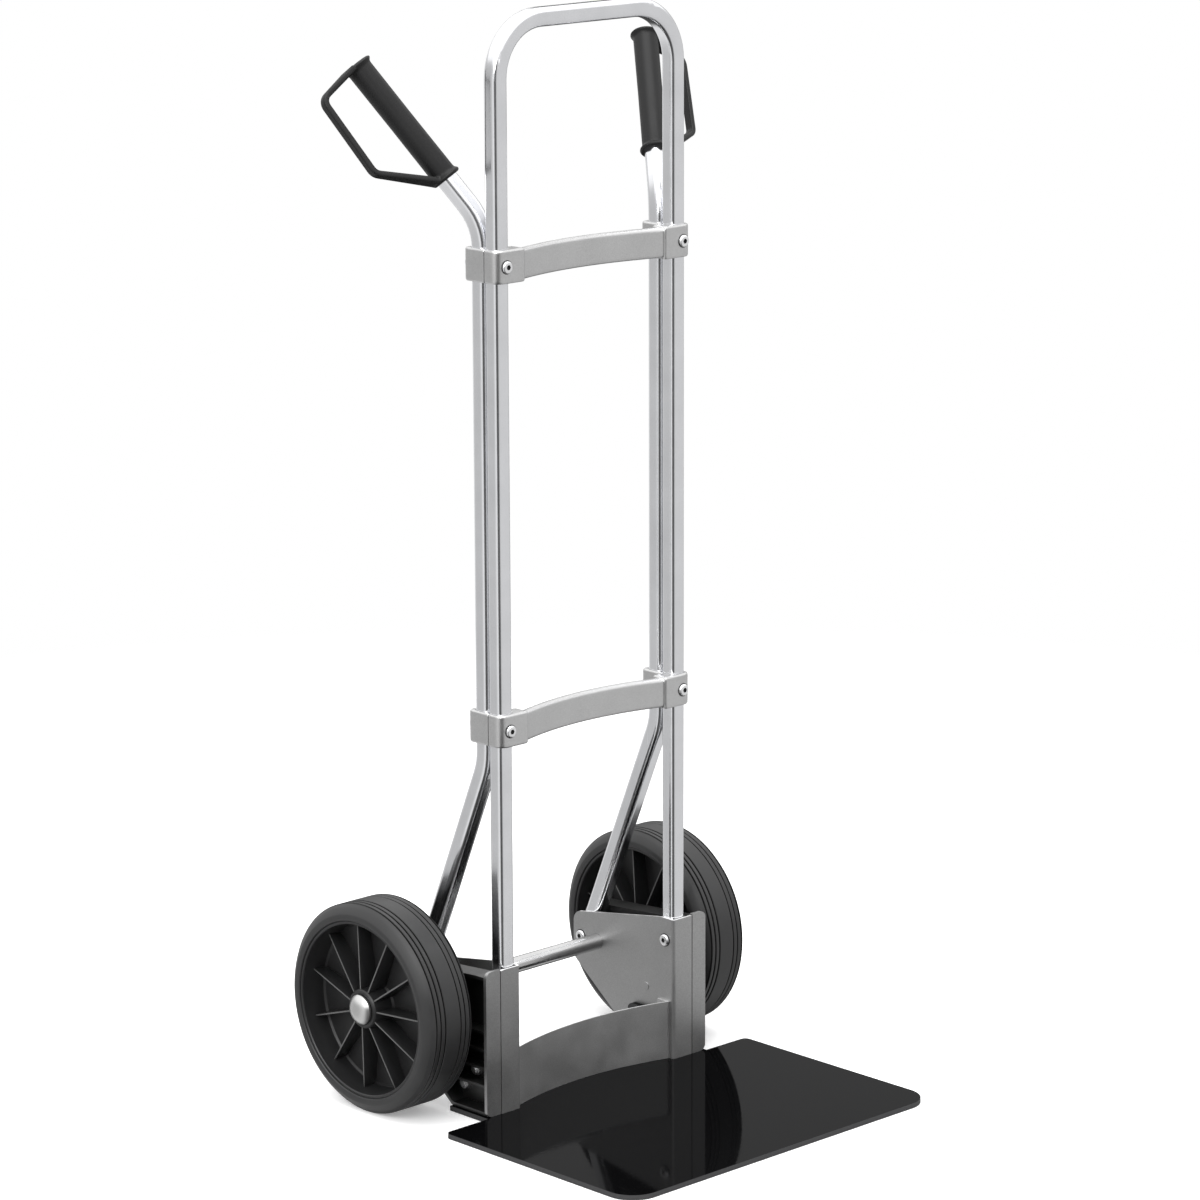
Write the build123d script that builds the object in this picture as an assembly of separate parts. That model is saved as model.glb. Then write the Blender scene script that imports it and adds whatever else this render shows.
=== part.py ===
from build123d import *
import os

# Hand truck. Millimetres, +Z up. The toe plate reaches to -Y and the wheels stand at +Y, so the
# front is seen looking along +Y, with the right side at +X and the left side at -X.
# Y = 0 is the plane of the front tube and Z = 0 the floor.
# A paired piece is drawn in place for the right side and mirrored for the left side.

# ---- overall sizes ----
truck_height = 1300.0         # floor to the top of the loop handle
track_half = 226.5            # middle of the truck to the middle of a wheel
tube_half = 141.0             # middle of the truck to the middle of an upright tube
tube_pitch = 23.0             # front tube centre to rear tube centre

# ---- tubes ----
tube_size = 22.0
tube_corner = 7.0
tube_wall = 2.0
loop_radius = 66.0            # centreline radius of the loop handle's corners
tube_foot = 9.0               # floor to the lower end of the front tubes
rear_bend_radius = 80.0
rear_knee_z = 424.0           # where the rear tube turns back to the wheels
handle_knee_z = 1058.0        # where the rear tube turns out to the grip
handle_lean = (0.385, 0.495, 0.779)    # direction of the grip, outward, back and up
guard_lean = (0.90, -0.016, -0.435)    # direction from the grip to its knuckle guard
rear_tail = 14.0              # rear tube past its lower bolt

# ---- clearances ----
seat_gap = 0.1                # between clamped or bolted pieces of the frame
hole_gap = 0.1                # on the radius of a bolt hole
running_gap = 0.03            # on the radius between the axle and a wheel bush
side_gap = 0.3                # beside a wheel that turns
past = 1.0                    # how far a cutting shape runs past the face that it cuts
long_cut = 250.0              # a drill longer than anything that it goes through

# ---- cross braces ----
brace_heights = (1012.0, 469.0)
brace_height = 39.0
clamp_wall = 6.0              # metal in front of and behind the tubes
clamp_half = 15.0             # half the width of a clamp about its tube
pad_reach = 29.0              # pad's inner edge from the tube centre
seam_y = 5.0                  # joint between brace and clamp cap
seam_gap = 0.8                # the joint stays open when the tubes are gripped
clamp_corner = 12.5
cap_corner = 6.0
bar_height = 36.0
bar_depth = 12.0
bar_bow = 20.0
bar_step = 1.2                # bar set back from the pad
bar_round = 4.5
edge_round = 2.5

# ---- bolts ----
bolt_size = 8.0
bolt_head = 14.5
bolt_head_height = 3.2
bolt_head_round = 1.9
shank_chamfer = 0.8
socket_across = 5.5
socket_depth = 2.2
nut_across = 13.0
nut_height = 6.5
nut_crown = 14.56             # diameter that trims the nut's corners
nut_chamfer = 1.0
thread_gap = 0.02
bolt_past_nut = 2.0

# ---- side cheeks ----
cheek_sheet = 3.0
cheek_front = -15.0
cheek_top = 182.5
cheek_level = 8.0             # the top edge is level from the front back to here
cheek_bend = 4.0
flange_half = 17.0            # front flange past the tube centre
cheek_rear = 161.0
cheek_rear_top = 157.5
cheek_rear_low = 100.0
cheek_heel = (90.0, 44.0)
cheek_toe = 45.0              # rear end of the cheek's lower edge
cheek_corner = 14.0
heel_grow = (0.6, 0.5)        # share of the bracket's growth at the heel and the low rear corner
front_bolt = (0.0, 155.0)
rear_bolt = (148.0, 128.0)
dimple = (33.6, 89.0)
dimple_size = 10.0
dimple_height = 0.6

# ---- cast outer brackets ----
web_thick = 4.0
rim_thick = 4.0
bracket_grow = 6.5            # bracket outline past the cheek outline
bracket_top = 176.0
bracket_front = -11.4
bracket_depth = 25.4          # web inner face to the open side
lip_reach = 4.0               # the lip past the open side
lip_gap = 1.2                 # between the cheek flange and the bracket flange
lip_top = 184.0
lip_corner = 8.0
rib_heights = (40.0, 62.0, 84.0, 106.0)
rib_thick = 3.0
rib_setback = 3.5
boss_size = 34.0
boss_height = 31.4

# ---- axle and wheels ----
wheel_size = 254.0
wheel_width = 75.0
axle_back = 119.0             # front tube plane to the axle
axle_size = 20.0
tyre_depth = 20.0
shoulder = 12.0
shoulder_step = (5.4, 4.3)    # middle point of a shoulder, from the tyre's side and its tread
groove_offsets = (12.0, 19.0, 26.0)   # tread grooves from each side of the tyre
groove_width = 1.2
groove_depth = 1.1
rim_wall = 4.0
rim_inset = 2.0               # rim edge inside the tyre's side
disc_thick = 5.0
spoke_count = 11
spoke_thick = 2.4
spoke_first = 79.6            # angle of the first spoke from straight back
spoke_hub_inset = 2.0
spoke_rim_inset = 15.0
hub_size = 46.0
hub_inset = 6.0               # outer end of the hub inside the tyre's side
hub_inner_reach = 3.0         # inner end of the hub past the tyre's side
bush_size = 27.0
bush_length = 20.0
bush_inset = 0.5
washer_size = 34.0
washer_thick = 1.6
cap_size = 36.0
cap_rise = 8.6
cap_wall = 4.4
cap_brim = 1.4
cap_flat = 1.5                # radius of the flat at the crown
cap_curve = (0.8, 0.55)       # share of the rise and of the radius at the dome's middle point
axle_chamfer = 1.0

# ---- toe plate and lower panel ----
plate_width = 500.0
plate_front = -329.0
plate_back = -17.0            # rear edge of the plate's wings
plate_thick = 6.0
plate_front_corner = 35.0
plate_back_corner = 8.0
tongue_half = 182.0
tongue_back = 50.0
lug_thick = 6.0
lug_front = 15.0
lug_back = 59.0
lug_top = 64.0
lug_corner = 8.0
lug_fold = 5.0
lug_bolts = ((27.0, 52.0), (47.0, 30.0))
sleeve_size = 14.0
panel_top = 78.5
panel_sheet = 2.5
panel_front = -8.0
panel_bow = 20.0
panel_tab = 19.0
rivet_heights = (24.0, 60.0)
rivet_size = 5.0
rivet_head = 9.0
rivet_head_height = 1.6
rivet_round = 0.96

# ---- grips ----
grip_size = 30.0
grip_start = 66.9             # from the handle knee to the lower end of the grip
grip_length = 160.6
grip_flange = 37.0
flange_thick = 6.0
flange_round = 2.52
grip_end_wall = 6.0
guard_wide = 11.0
guard_thick = 6.5
guard_round = 2.4
guard_far = (65.9, 153.4)     # outward and along the grip
guard_near = (72.5, 52.9)
guard_bend = 12.0
guard_bury = 3.0              # how deep the guard's ends run into the sleeve
plug_flange = 2.0
plug_bolt_gap = 1.5            # between a plug and the bolt above it

# ---- sizes that follow ----
rail_in = tube_half - tube_size / 2
rail_out = tube_half + tube_size / 2
cheek_out_face = rail_in - seat_gap
cheek_in_face = cheek_out_face - cheek_sheet
web_in_face = rail_out + seat_gap
web_out_face = web_in_face + web_thick
bracket_side = web_in_face + bracket_depth
axle_z = wheel_size / 2
tyre_out = track_half + wheel_width / 2
tyre_in = track_half - wheel_width / 2
hub_out = tyre_out - hub_inset
hub_in = tyre_in - hub_inner_reach
rim_radius = wheel_size / 2 - tyre_depth
standing_z = plate_thick + seat_gap
brace_front = -tube_size / 2 - clamp_wall
cap_back = tube_pitch + tube_size / 2 + clamp_wall
loop_top = truck_height - tube_size / 2
washer_out = hub_out + side_gap
cap_base = washer_out + washer_thick + seat_gap
axle_end = cap_base + cap_rise - cap_wall


def unit(vector):
    return Vector(*vector).normalized()


def grip_axis():
    return unit(handle_lean)


def guard_axis():
    along, out = grip_axis(), unit(guard_lean)
    return (out - along * out.dot(along)).normalized()


def grip_base():
    return Vector(tube_half, tube_pitch, handle_knee_z) + grip_axis() * grip_start


def axle_plane(x):
    """Plane square to the axle line at x, its Z along +X and its X straight back."""
    return Plane(origin=(x, axle_back, axle_z), x_dir=(0, 1, 0), z_dir=(1, 0, 0))


def side_plane(x):
    """Plane with local X = back and local Y = up, at x."""
    return Plane(origin=(x, 0, 0), x_dir=(0, 1, 0), z_dir=(1, 0, 0))


def drum(x_start, x_end, diameter):
    """Cylinder about the axle line between two x places."""
    return extrude(axle_plane(x_start) * Circle(diameter / 2), x_end - x_start)


def cross_hole(x_start, x_end, back, up, diameter):
    """Cylinder along X at a place in the side view."""
    return extrude(side_plane(x_start) * Pos(back, up) * Circle(diameter / 2), x_end - x_start)


def box_between(low, high):
    size = [b - a for a, b in zip(low, high)]
    middle = [(a + b) / 2 for a, b in zip(low, high)]
    return Pos(*middle) * Box(*size)


def both_sides(part):
    return [part, mirror(part, about=Plane.YZ)]


def group(parts):
    return Compound(children=[solid for part in parts for solid in part.solids()])


def tube_section(grow):
    return RectangleRounded(tube_size + 2 * grow, tube_size + 2 * grow, tube_corner + grow)


def swept_tube(path, start):
    """Hollow rounded-square tube along a path, its section set out in the start plane."""
    outer = sweep(start * tube_section(0), path=path)
    inner = sweep(start * tube_section(-tube_wall), path=path)
    return outer - inner


# ---- fasteners ----

def bolt(grip):
    """Button-head bolt along +Z: the head's seat at z = 0, the head below it, the shank above."""
    dome = Pos(0, 0, -bolt_head_height / 2) * Cylinder(bolt_head / 2, bolt_head_height)
    dome = fillet(dome.edges().sort_by(Axis.Z)[0], bolt_head_round)
    socket = RegularPolygon(socket_across / 2, 6, major_radius=False)
    dome -= extrude(Pos(0, 0, -bolt_head_height) * socket, socket_depth)
    reach = grip + nut_height + bolt_past_nut
    shank = Pos(0, 0, reach / 2) * Cylinder(bolt_size / 2, reach)
    shank = chamfer(shank.edges().sort_by(Axis.Z)[-1], shank_chamfer)
    return dome + shank


def nut():
    """Hexagon nut along +Z from z = 0."""
    body = extrude(RegularPolygon(nut_across / 2, 6, major_radius=False), nut_height)
    crown = Pos(0, 0, nut_height / 2) * Cylinder(nut_crown / 2, nut_height)
    crown = chamfer(crown.edges().group_by(Axis.Z)[-1], nut_chamfer)
    bore = Pos(0, 0, nut_height / 2) * Cylinder(bolt_size / 2 + thread_gap, nut_height)
    return (body & crown) - bore


def brace_bolt_places():
    return [Plane(origin=(x, brace_front, z), z_dir=(0, 1, 0))
            for z in brace_heights for x in (tube_half, -tube_half)]


def brace_bolts():
    return group([place * bolt(cap_back - brace_front) for place in brace_bolt_places()])


def brace_nuts():
    return group([place.offset(cap_back - brace_front) * nut() for place in brace_bolt_places()])


def cheek_bolts():
    one_side = [side_plane(cheek_in_face) * Pos(*at) * bolt(web_out_face - cheek_in_face)
                for at in (front_bolt, rear_bolt)]
    return group([side for part in one_side for side in both_sides(part)])


def cheek_nuts():
    one_side = [side_plane(web_out_face) * Pos(*at) * nut() for at in (front_bolt, rear_bolt)]
    return group([side for part in one_side for side in both_sides(part)])


def toe_plate_bolts():
    seat = cheek_in_face - seat_gap - lug_thick
    one_side = [side_plane(seat) * Pos(*at) * bolt(web_out_face - seat) for at in lug_bolts]
    return group([side for part in one_side for side in both_sides(part)])


def toe_plate_nuts():
    one_side = [side_plane(web_out_face) * Pos(*at) * nut() for at in lug_bolts]
    return group([side for part in one_side for side in both_sides(part)])


def spacer_sleeves():
    start, end = cheek_out_face + seat_gap, web_in_face - seat_gap
    sleeves = [cross_hole(start, end, back, up, sleeve_size)
               - cross_hole(start, end, back, up, bolt_size + 2 * hole_gap)
               for back, up in lug_bolts]
    return group([side for part in sleeves for side in both_sides(part)])


# ---- tubes ----

def main_frame():
    """Front tube: one length bent into the tall loop handle."""
    left, right = (-tube_half, 0, tube_foot), (tube_half, 0, tube_foot)
    path = FilletPolyline(left, (-tube_half, 0, loop_top), (tube_half, 0, loop_top), right,
                          radius=loop_radius)
    tube = swept_tube(path, Plane(origin=left, x_dir=(1, 0, 0), z_dir=(0, 0, 1)))
    for place in brace_bolt_places():
        tube -= place * Cylinder(bolt_size / 2 + hole_gap, long_cut)
    for hole in both_sides(cross_hole(rail_in - past, rail_out + past, *front_bolt,
                                      bolt_size + 2 * hole_gap)):
        tube -= hole
    return tube


def rear_tube_path():
    knee = (tube_half, tube_pitch, rear_knee_z)
    run = unit((0, rear_bolt[0] - tube_pitch, rear_bolt[1] - rear_knee_z))
    foot = Vector(tube_half, *rear_bolt) + run * rear_tail
    top = (tube_half, tube_pitch, handle_knee_z)
    end = grip_base() + grip_axis() * (grip_length - grip_end_wall)
    path = FilletPolyline(foot, knee, top, end, radius=rear_bend_radius)
    return path, Plane(origin=foot, x_dir=(1, 0, 0), z_dir=run * -1)


def rear_tube():
    """Rear tube: from the cheek, up behind the front tube, and out into the grip."""
    path, start = rear_tube_path()
    tube = swept_tube(path, start)
    for place in brace_bolt_places():
        tube -= place * Cylinder(bolt_size / 2 + hole_gap, long_cut)
    return tube - cross_hole(rail_in - past, rail_out + past, *rear_bolt, bolt_size + 2 * hole_gap)


def tube_channels(height, middle):
    """The room that both upright tubes take in a clamp."""
    grow = seat_gap
    front = extrude(Pos(tube_half, 0, middle - height) * tube_section(grow), 2 * height)
    rear = extrude(Pos(tube_half, tube_pitch, middle - height) * tube_section(grow), 2 * height)
    flat = tube_size / 2 - tube_corner
    between = box_between((tube_half - flat, 0, middle - height),
                          (tube_half + flat, tube_pitch, middle + height))
    return front + rear + between


def clamp_holes(part):
    for place in brace_bolt_places():
        part -= place * Cylinder(bolt_size / 2 + hole_gap, long_cut)
    return part


# ---- braces and clamp caps ----

def brace_pad(middle):
    """The brace's end block, with its pad, in front of the +X tubes."""
    low = (tube_half - pad_reach, brace_front, middle - brace_height / 2)
    high = (tube_half + clamp_half, seam_y, middle + brace_height / 2)
    block = box_between(low, high)
    corner = block.edges().filter_by(Axis.Z).sort_by(Axis.X)[-2:].sort_by(Axis.Y)[0]
    block = fillet(corner, clamp_corner)
    inner = block.edges().filter_by(Axis.Z).sort_by(Axis.X)[:2].sort_by(Axis.Y)[0]
    block = fillet(inner, edge_round)
    rims = block.edges().group_by(Axis.Z)
    return fillet([e for e in rims[0] + rims[-1] if abs(e.center().Y - seam_y) > seat_gap], edge_round)


def brace_bar(middle):
    """The bowed bar between the end blocks."""
    reach = tube_half - pad_reach + 2 * edge_round
    front = brace_front + bar_step
    face = arc_strip(reach, front, bar_bow, bar_depth)
    bar = extrude(Pos(0, 0, middle - bar_height / 2) * face, bar_height)
    rims = bar.edges().group_by(Axis.Z)
    long_edges = [e for e in rims[0] + rims[-1] if e.length > reach]
    return fillet(long_edges, bar_round)


def arc_strip(reach, front, bow, depth):
    """Flat strip of even depth between two arcs that bow to +Y."""
    near = ThreePointArc((-reach, front), (0, front + bow), (reach, front))
    far = ThreePointArc((-reach, front + depth), (0, front + bow + depth), (reach, front + depth))
    ends = [Line((x, front), (x, front + depth)) for x in (-reach, reach)]
    return make_face([near, far] + ends)


def brace(middle):
    blocks = both_sides(brace_pad(middle))
    part = brace_bar(middle) + blocks[0] + blocks[1]
    for channel in both_sides(tube_channels(brace_height, middle)):
        part -= channel
    return clamp_holes(part)


def clamp_cap(middle):
    """Cap behind the +X tubes, drawn up to the brace by the bolt."""
    block = box_between((tube_half - clamp_half, seam_y + seam_gap, middle - brace_height / 2),
                        (tube_half + clamp_half, cap_back, middle + brace_height / 2))
    block = fillet(block.edges().filter_by(Axis.Z).sort_by(Axis.Y)[-2:], cap_corner)
    rims = block.edges().group_by(Axis.Z)
    rims = [e for e in rims[0] + rims[-1] if abs(e.center().Y - seam_y) > past]
    block = fillet(rims, edge_round)
    return clamp_holes(block - tube_channels(brace_height, middle))


# ---- cheeks and brackets ----

def cheek_outline(grow, front, top, low):
    """Side view of a cheek: level foot, slanted heel, upright back and sloping top."""
    back = cheek_rear + grow
    heel, rear_low = (grow * share for share in heel_grow)
    points = [(front, low), (cheek_toe + grow, low),
              (cheek_heel[0] + heel, cheek_heel[1] - heel), (back, cheek_rear_low - rear_low),
              (back, cheek_rear_top + grow), (cheek_level, top), (front, top)]
    outline = make_face(Polyline(*points, close=True))
    corners = outline.vertices().sort_by(Axis.X)[-2:]
    return fillet(corners, cheek_corner + grow)


def inner_cheek():
    """Folded sheet cheek: side plate inside the tubes and a flange across the front tube."""
    outer = tube_half + flange_half
    points = [(cheek_in_face, cheek_front), (outer, cheek_front), (outer, cheek_front + cheek_sheet),
              (cheek_out_face, cheek_front + cheek_sheet), (cheek_out_face, cheek_rear + past),
              (cheek_in_face, cheek_rear + past)]
    plan = make_face(Polyline(*points, close=True))
    fold = plan.vertices().sort_by(Axis.Y)[:2].sort_by(Axis.X)[0]
    plan = fillet(fold, cheek_bend)
    profile = extrude(plan, cheek_top + past)
    side = cheek_outline(0, cheek_front, cheek_top, standing_z)
    cheek = profile & extrude(side_plane(cheek_in_face - past) * side, outer)
    cheek += extrude(side_plane(cheek_in_face - dimple_height) * Pos(*dimple)
                     * Circle(dimple_size / 2), dimple_height + past)
    for back, up in (front_bolt, rear_bolt, *lug_bolts):
        cheek -= cross_hole(cheek_in_face - 2 * past, cheek_out_face + past, back, up,
                            bolt_size + 2 * hole_gap)
    for up in rivet_heights:
        cheek -= cross_hole(cheek_in_face - past, cheek_out_face + past, panel_tab / 2 + panel_front, up,
                            rivet_size + 2 * hole_gap)
    return cheek - drum(cheek_in_face - past, cheek_out_face + past, axle_size + 2 * hole_gap)


def bracket_outline(shrink=0):
    outline = cheek_outline(bracket_grow, bracket_front, bracket_top, standing_z)
    return offset(outline, -shrink, kind=Kind.INTERSECTION) if shrink else outline


def outer_bracket():
    """Cast pan outside the tubes, open to the wheel, with ribs, a front lip and the axle boss."""
    start = side_plane(web_in_face)
    pan = extrude(start * bracket_outline(), bracket_depth)
    pan -= extrude(side_plane(web_out_face) * bracket_outline(rim_thick), bracket_depth)
    inside = bracket_outline(rim_thick / 2)
    for up in rib_heights:
        strip = box_between((web_out_face - past, bracket_front, up - rib_thick / 2),
                            (bracket_side - rib_setback, cheek_rear, up + rib_thick / 2))
        pan += strip & extrude(start * inside, bracket_depth)
    lip = box_between((tube_half + flange_half + lip_gap, cheek_front, standing_z),
                      (bracket_side + lip_reach, bracket_front + past, lip_top))
    lip = fillet(lip.edges().filter_by(Axis.Y).sort_by(Axis.X)[-2:], lip_corner)
    pan += lip
    pan += drum(web_in_face, web_in_face + boss_height, boss_size)
    for back, up in (front_bolt, rear_bolt, *lug_bolts):
        pan -= cross_hole(web_in_face - past, web_out_face + past, back, up, bolt_size + 2 * hole_gap)
    return pan - drum(web_in_face - past, web_in_face + boss_height + past, axle_size + 2 * hole_gap)


# ---- toe plate and lower panel ----

def toe_plate():
    """Flat load plate, its tongue under the frame coined a hair lower, with two lugs folded up."""
    half = plate_width / 2
    wing = make_face(Polyline((-half, plate_front), (half, plate_front), (half, plate_back),
                              (-half, plate_back), close=True))
    by_depth = wing.vertices().sort_by(Axis.Y)
    wing = fillet(by_depth[:2], plate_front_corner)
    wing = fillet([v for v in wing.vertices() if v.Y > plate_back - past], plate_back_corner)
    tongue = Pos(0, (plate_back + tongue_back) / 2 - past) * Rectangle(
        2 * tongue_half, tongue_back - plate_back + 2 * past)
    plate = extrude(wing, plate_thick) + extrude(tongue, plate_thick - seat_gap)
    for lug in both_sides(plate_lug()):
        plate += lug
    return plate


def plate_lug():
    outer = cheek_in_face - seat_gap
    inner = outer - lug_thick
    profile = make_face(Polyline((inner - lug_fold, 0), (outer, 0), (outer, lug_top),
                                 (inner, lug_top), (inner, plate_thick), close=True))
    lug = extrude(Plane(origin=(0, lug_front, 0), x_dir=(1, 0, 0), z_dir=(0, -1, 0)) * profile,
                  -(lug_back - lug_front))
    top = [e for e in lug.edges().filter_by(Axis.X) if e.center().Z > lug_top - past]
    lug = fillet(top, lug_corner)
    for back, up in lug_bolts:
        lug -= cross_hole(inner - past, outer + past, back, up, bolt_size + 2 * hole_gap)
    return lug


def lower_panel():
    """Bowed sheet between the cheeks, its ends folded back against them."""
    outer = cheek_in_face - seat_gap
    inner = outer - panel_sheet
    plan = arc_strip(outer, panel_front, panel_bow, panel_sheet)
    for side in (-1, 1):
        low, high = sorted((side * inner, side * outer))
        plan += Pos((low + high) / 2, panel_front + panel_tab / 2) * Rectangle(
            panel_sheet, panel_tab)
    panel = extrude(Pos(0, 0, standing_z) * plan, panel_top - standing_z)
    for up in rivet_heights:
        for hole in both_sides(cross_hole(inner - past, outer + past, panel_front + panel_tab / 2, up,
                                          rivet_size + 2 * hole_gap)):
            panel -= hole
    return panel


def panel_rivets():
    seat = cheek_in_face - seat_gap - panel_sheet
    rivets = []
    for up in rivet_heights:
        back = panel_front + panel_tab / 2
        head = cross_hole(seat - rivet_head_height, seat, back, up, rivet_head)
        head = fillet(head.edges().sort_by(Axis.X)[0], rivet_round)
        rivets.append(head + cross_hole(seat, cheek_out_face, back, up, rivet_size))
    return group([side for part in rivets for side in both_sides(part)])


# ---- axle and wheels ----

def axle():
    rod = drum(-axle_end, axle_end, axle_size)
    return chamfer(rod.edges().filter_by(GeomType.CIRCLE), axle_chamfer)


def axle_washers():
    bore = axle_size + 2 * hole_gap
    inner_start = hub_in - side_gap - washer_thick
    washers = []
    for start in (inner_start, washer_out):
        washers.append(drum(start, start + washer_thick, washer_size)
                       - drum(start - past, start + washer_thick + past, bore))
    return group([side for part in washers for side in both_sides(part)])


def axle_cap():
    """Domed push-on cap that holds the wheel on the axle."""
    radius, top = cap_size / 2, cap_base + cap_rise
    brim = cap_base + cap_brim
    shoulder_x = brim + (top - brim) * cap_curve[0]
    outline = [Line((axle_end, 0), (axle_end, axle_size / 2)),
               Line((axle_end, axle_size / 2), (cap_base, axle_size / 2)),
               Line((cap_base, axle_size / 2), (cap_base, radius)),
               Line((cap_base, radius), (brim, radius)),
               Spline((brim, radius), (shoulder_x, radius * cap_curve[1]), (top, cap_flat)),
               Line((top, cap_flat), (top, 0)), Line((top, 0), (axle_end, 0))]
    placed = Plane(origin=(0, axle_back, axle_z), x_dir=(1, 0, 0), z_dir=(0, -1, 0))
    return revolve(placed * make_face(outline), Axis((0, axle_back, axle_z), (1, 0, 0)))


def wheel_profile(points):
    """Revolve (x along the axle, radius) points about the axle line."""
    face = make_face(Polyline(*points, close=True))
    placed = Plane(origin=(0, axle_back, axle_z), x_dir=(1, 0, 0), z_dir=(0, -1, 0)) * face
    return revolve(placed, Axis((0, axle_back, axle_z), (1, 0, 0)))


def tyre():
    """Solid tyre: bevelled shoulders and fine grooves round the tread."""
    radius, bore = wheel_size / 2, rim_radius + seat_gap
    step, drop = shoulder_step
    points = [(tyre_in, bore), (tyre_in, radius - shoulder), (tyre_in + step, radius - drop),
              (tyre_in + shoulder, radius), (tyre_out - shoulder, radius),
              (tyre_out - step, radius - drop), (tyre_out, radius - shoulder), (tyre_out, bore)]
    body = wheel_profile(points)
    for offset_x in groove_offsets:
        for middle in (tyre_in + offset_x, tyre_out - offset_x):
            half = groove_width / 2
            low, high = radius - groove_depth, radius + past
            body -= wheel_profile([(middle - half, low), (middle - half, high),
                                   (middle + half, high), (middle + half, low)])
    return body


def rim_barrel():
    """Outer wall of the wheel centre, pressed into the tyre."""
    start, end = tyre_in + rim_inset, tyre_out - rim_inset
    return (drum(start, end, 2 * rim_radius)
            - drum(start - past, end + past, 2 * (rim_radius - rim_wall)))


def rim_hub():
    """Hub tube of the wheel centre with the disc that carries the barrel."""
    reach = rim_radius - rim_wall - seat_gap
    disc = drum(track_half - disc_thick / 2, track_half + disc_thick / 2, 2 * reach)
    body = disc + drum(hub_in, hub_out, hub_size)
    return body - drum(hub_in - past, hub_out + past, bush_size + 2 * running_gap)


def rim_webs():
    """Thin radial webs that stiffen the disc on both of its faces, deepest at the hub."""
    outer = (hub_out - spoke_hub_inset, tyre_out - rim_inset - spoke_rim_inset)
    inner = tuple(2 * track_half - x for x in outer)
    near, far = hub_size / 2 + seat_gap, rim_radius - rim_wall - seat_gap
    webs = []
    for side, (hub_edge, rim_edge) in ((1, outer), (-1, inner)):
        foot = track_half + side * (disc_thick / 2 + seat_gap)
        face = make_face(Polyline((foot, near), (hub_edge, near), (rim_edge, far), (foot, far),
                                  close=True))
        flat = Plane(origin=(0, axle_back, axle_z), x_dir=(1, 0, 0), z_dir=(0, -1, 0)) * face
        web = extrude(flat, spoke_thick / 2, both=True)
        for step in range(spoke_count):
            angle = spoke_first + step * 360.0 / spoke_count - 90
            webs.append(web.rotate(Axis((0, axle_back, axle_z), (1, 0, 0)), angle))
    return group(webs)


def wheel_bushes():
    bore = axle_size + 2 * running_gap
    bushes = []
    for start in (hub_in + bush_inset, hub_out - bush_inset - bush_length):
        bushes.append(drum(start, start + bush_length, bush_size)
                      - drum(start - past, start + bush_length + past, bore))
    return group(bushes)


# ---- grips ----

def grip():
    """Moulded grip with end flanges and its knuckle guard in one piece."""
    place = Plane(origin=grip_base(), x_dir=guard_axis(), z_dir=grip_axis())
    sleeve = Pos(0, 0, grip_length / 2) * Cylinder(grip_size / 2, grip_length)
    body = sleeve + guard()
    for middle in (0, grip_length):
        flange = Pos(0, 0, middle) * Cylinder(grip_flange / 2, flange_thick)
        body += fillet(flange.edges().filter_by(GeomType.CIRCLE), flange_round)
    path, start = rear_tube_path()
    room = sweep(start * tube_section(seat_gap), path=path)
    return place * body - room


def guard():
    """Strap from the top flange out and back down to the lower flange."""
    bury = grip_size / 2 - guard_bury
    path = FilletPolyline((bury, 0, grip_length), (guard_far[0], 0, guard_far[1]),
                          (guard_near[0], 0, guard_near[1]), (bury, 0, 0), radius=guard_bend)
    run = Vector(guard_far[0] - bury, 0, guard_far[1] - grip_length)
    start = Plane(origin=(bury, 0, grip_length), x_dir=(0, 1, 0), z_dir=run)
    return sweep(start * RectangleRounded(guard_wide, guard_thick, guard_round), path=path)


def tube_plugs():
    """Plastic plugs in the open lower ends of the four tubes."""
    inner = tube_section(-tube_wall - seat_gap)
    depth = rear_tail - bolt_size / 2 - hole_gap - plug_bolt_gap
    _, start = rear_tube_path()
    plugs = []
    for place in (Plane(origin=(tube_half, 0, tube_foot)), start):
        flange = extrude(place.offset(-plug_flange - seat_gap) * tube_section(-tube_wall / 2),
                         plug_flange)
        plugs.append(flange + extrude(place.offset(-seat_gap) * inner, depth))
    return group([side for part in plugs for side in both_sides(part)])


def build_nodes():
    """Every piece of the truck by the name of its node."""
    upper, lower = brace_heights
    nodes = {
        "main_frame": main_frame(),
        "upper_brace": brace(upper),
        "lower_brace": brace(lower),
        "brace_bolts": brace_bolts(),
        "brace_nuts": brace_nuts(),
        "cheek_bolts": cheek_bolts(),
        "cheek_nuts": cheek_nuts(),
        "toe_plate": toe_plate(),
        "toe_plate_bolts": toe_plate_bolts(),
        "toe_plate_nuts": toe_plate_nuts(),
        "spacer_sleeves": spacer_sleeves(),
        "lower_panel": lower_panel(),
        "panel_rivets": panel_rivets(),
        "axle": axle(),
        "axle_washers": axle_washers(),
        "tube_plugs": tube_plugs(),
    }
    pairs = {
        "rear_tube": rear_tube(),
        "upper_clamp_cap": clamp_cap(upper),
        "lower_clamp_cap": clamp_cap(lower),
        "inner_cheek": inner_cheek(),
        "outer_bracket": outer_bracket(),
        "tyre": tyre(),
        "rim_barrel": rim_barrel(),
        "rim_hub": rim_hub(),
        "rim_webs": rim_webs(),
        "wheel_bushes": wheel_bushes(),
        "axle_cap": axle_cap(),
        "grip": grip(),
    }
    for name, part in pairs.items():
        nodes[f"{name}_right"] = part
        nodes[f"{name}_left"] = mirror(part, about=Plane.YZ)
    return nodes


os.makedirs("parts", exist_ok=True)
for node, part in build_nodes().items():
    export_step(part, f"parts/{node}.step")
    print(node, len(part.solids()), [round(v, 1) for v in part.bounding_box().size])
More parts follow.
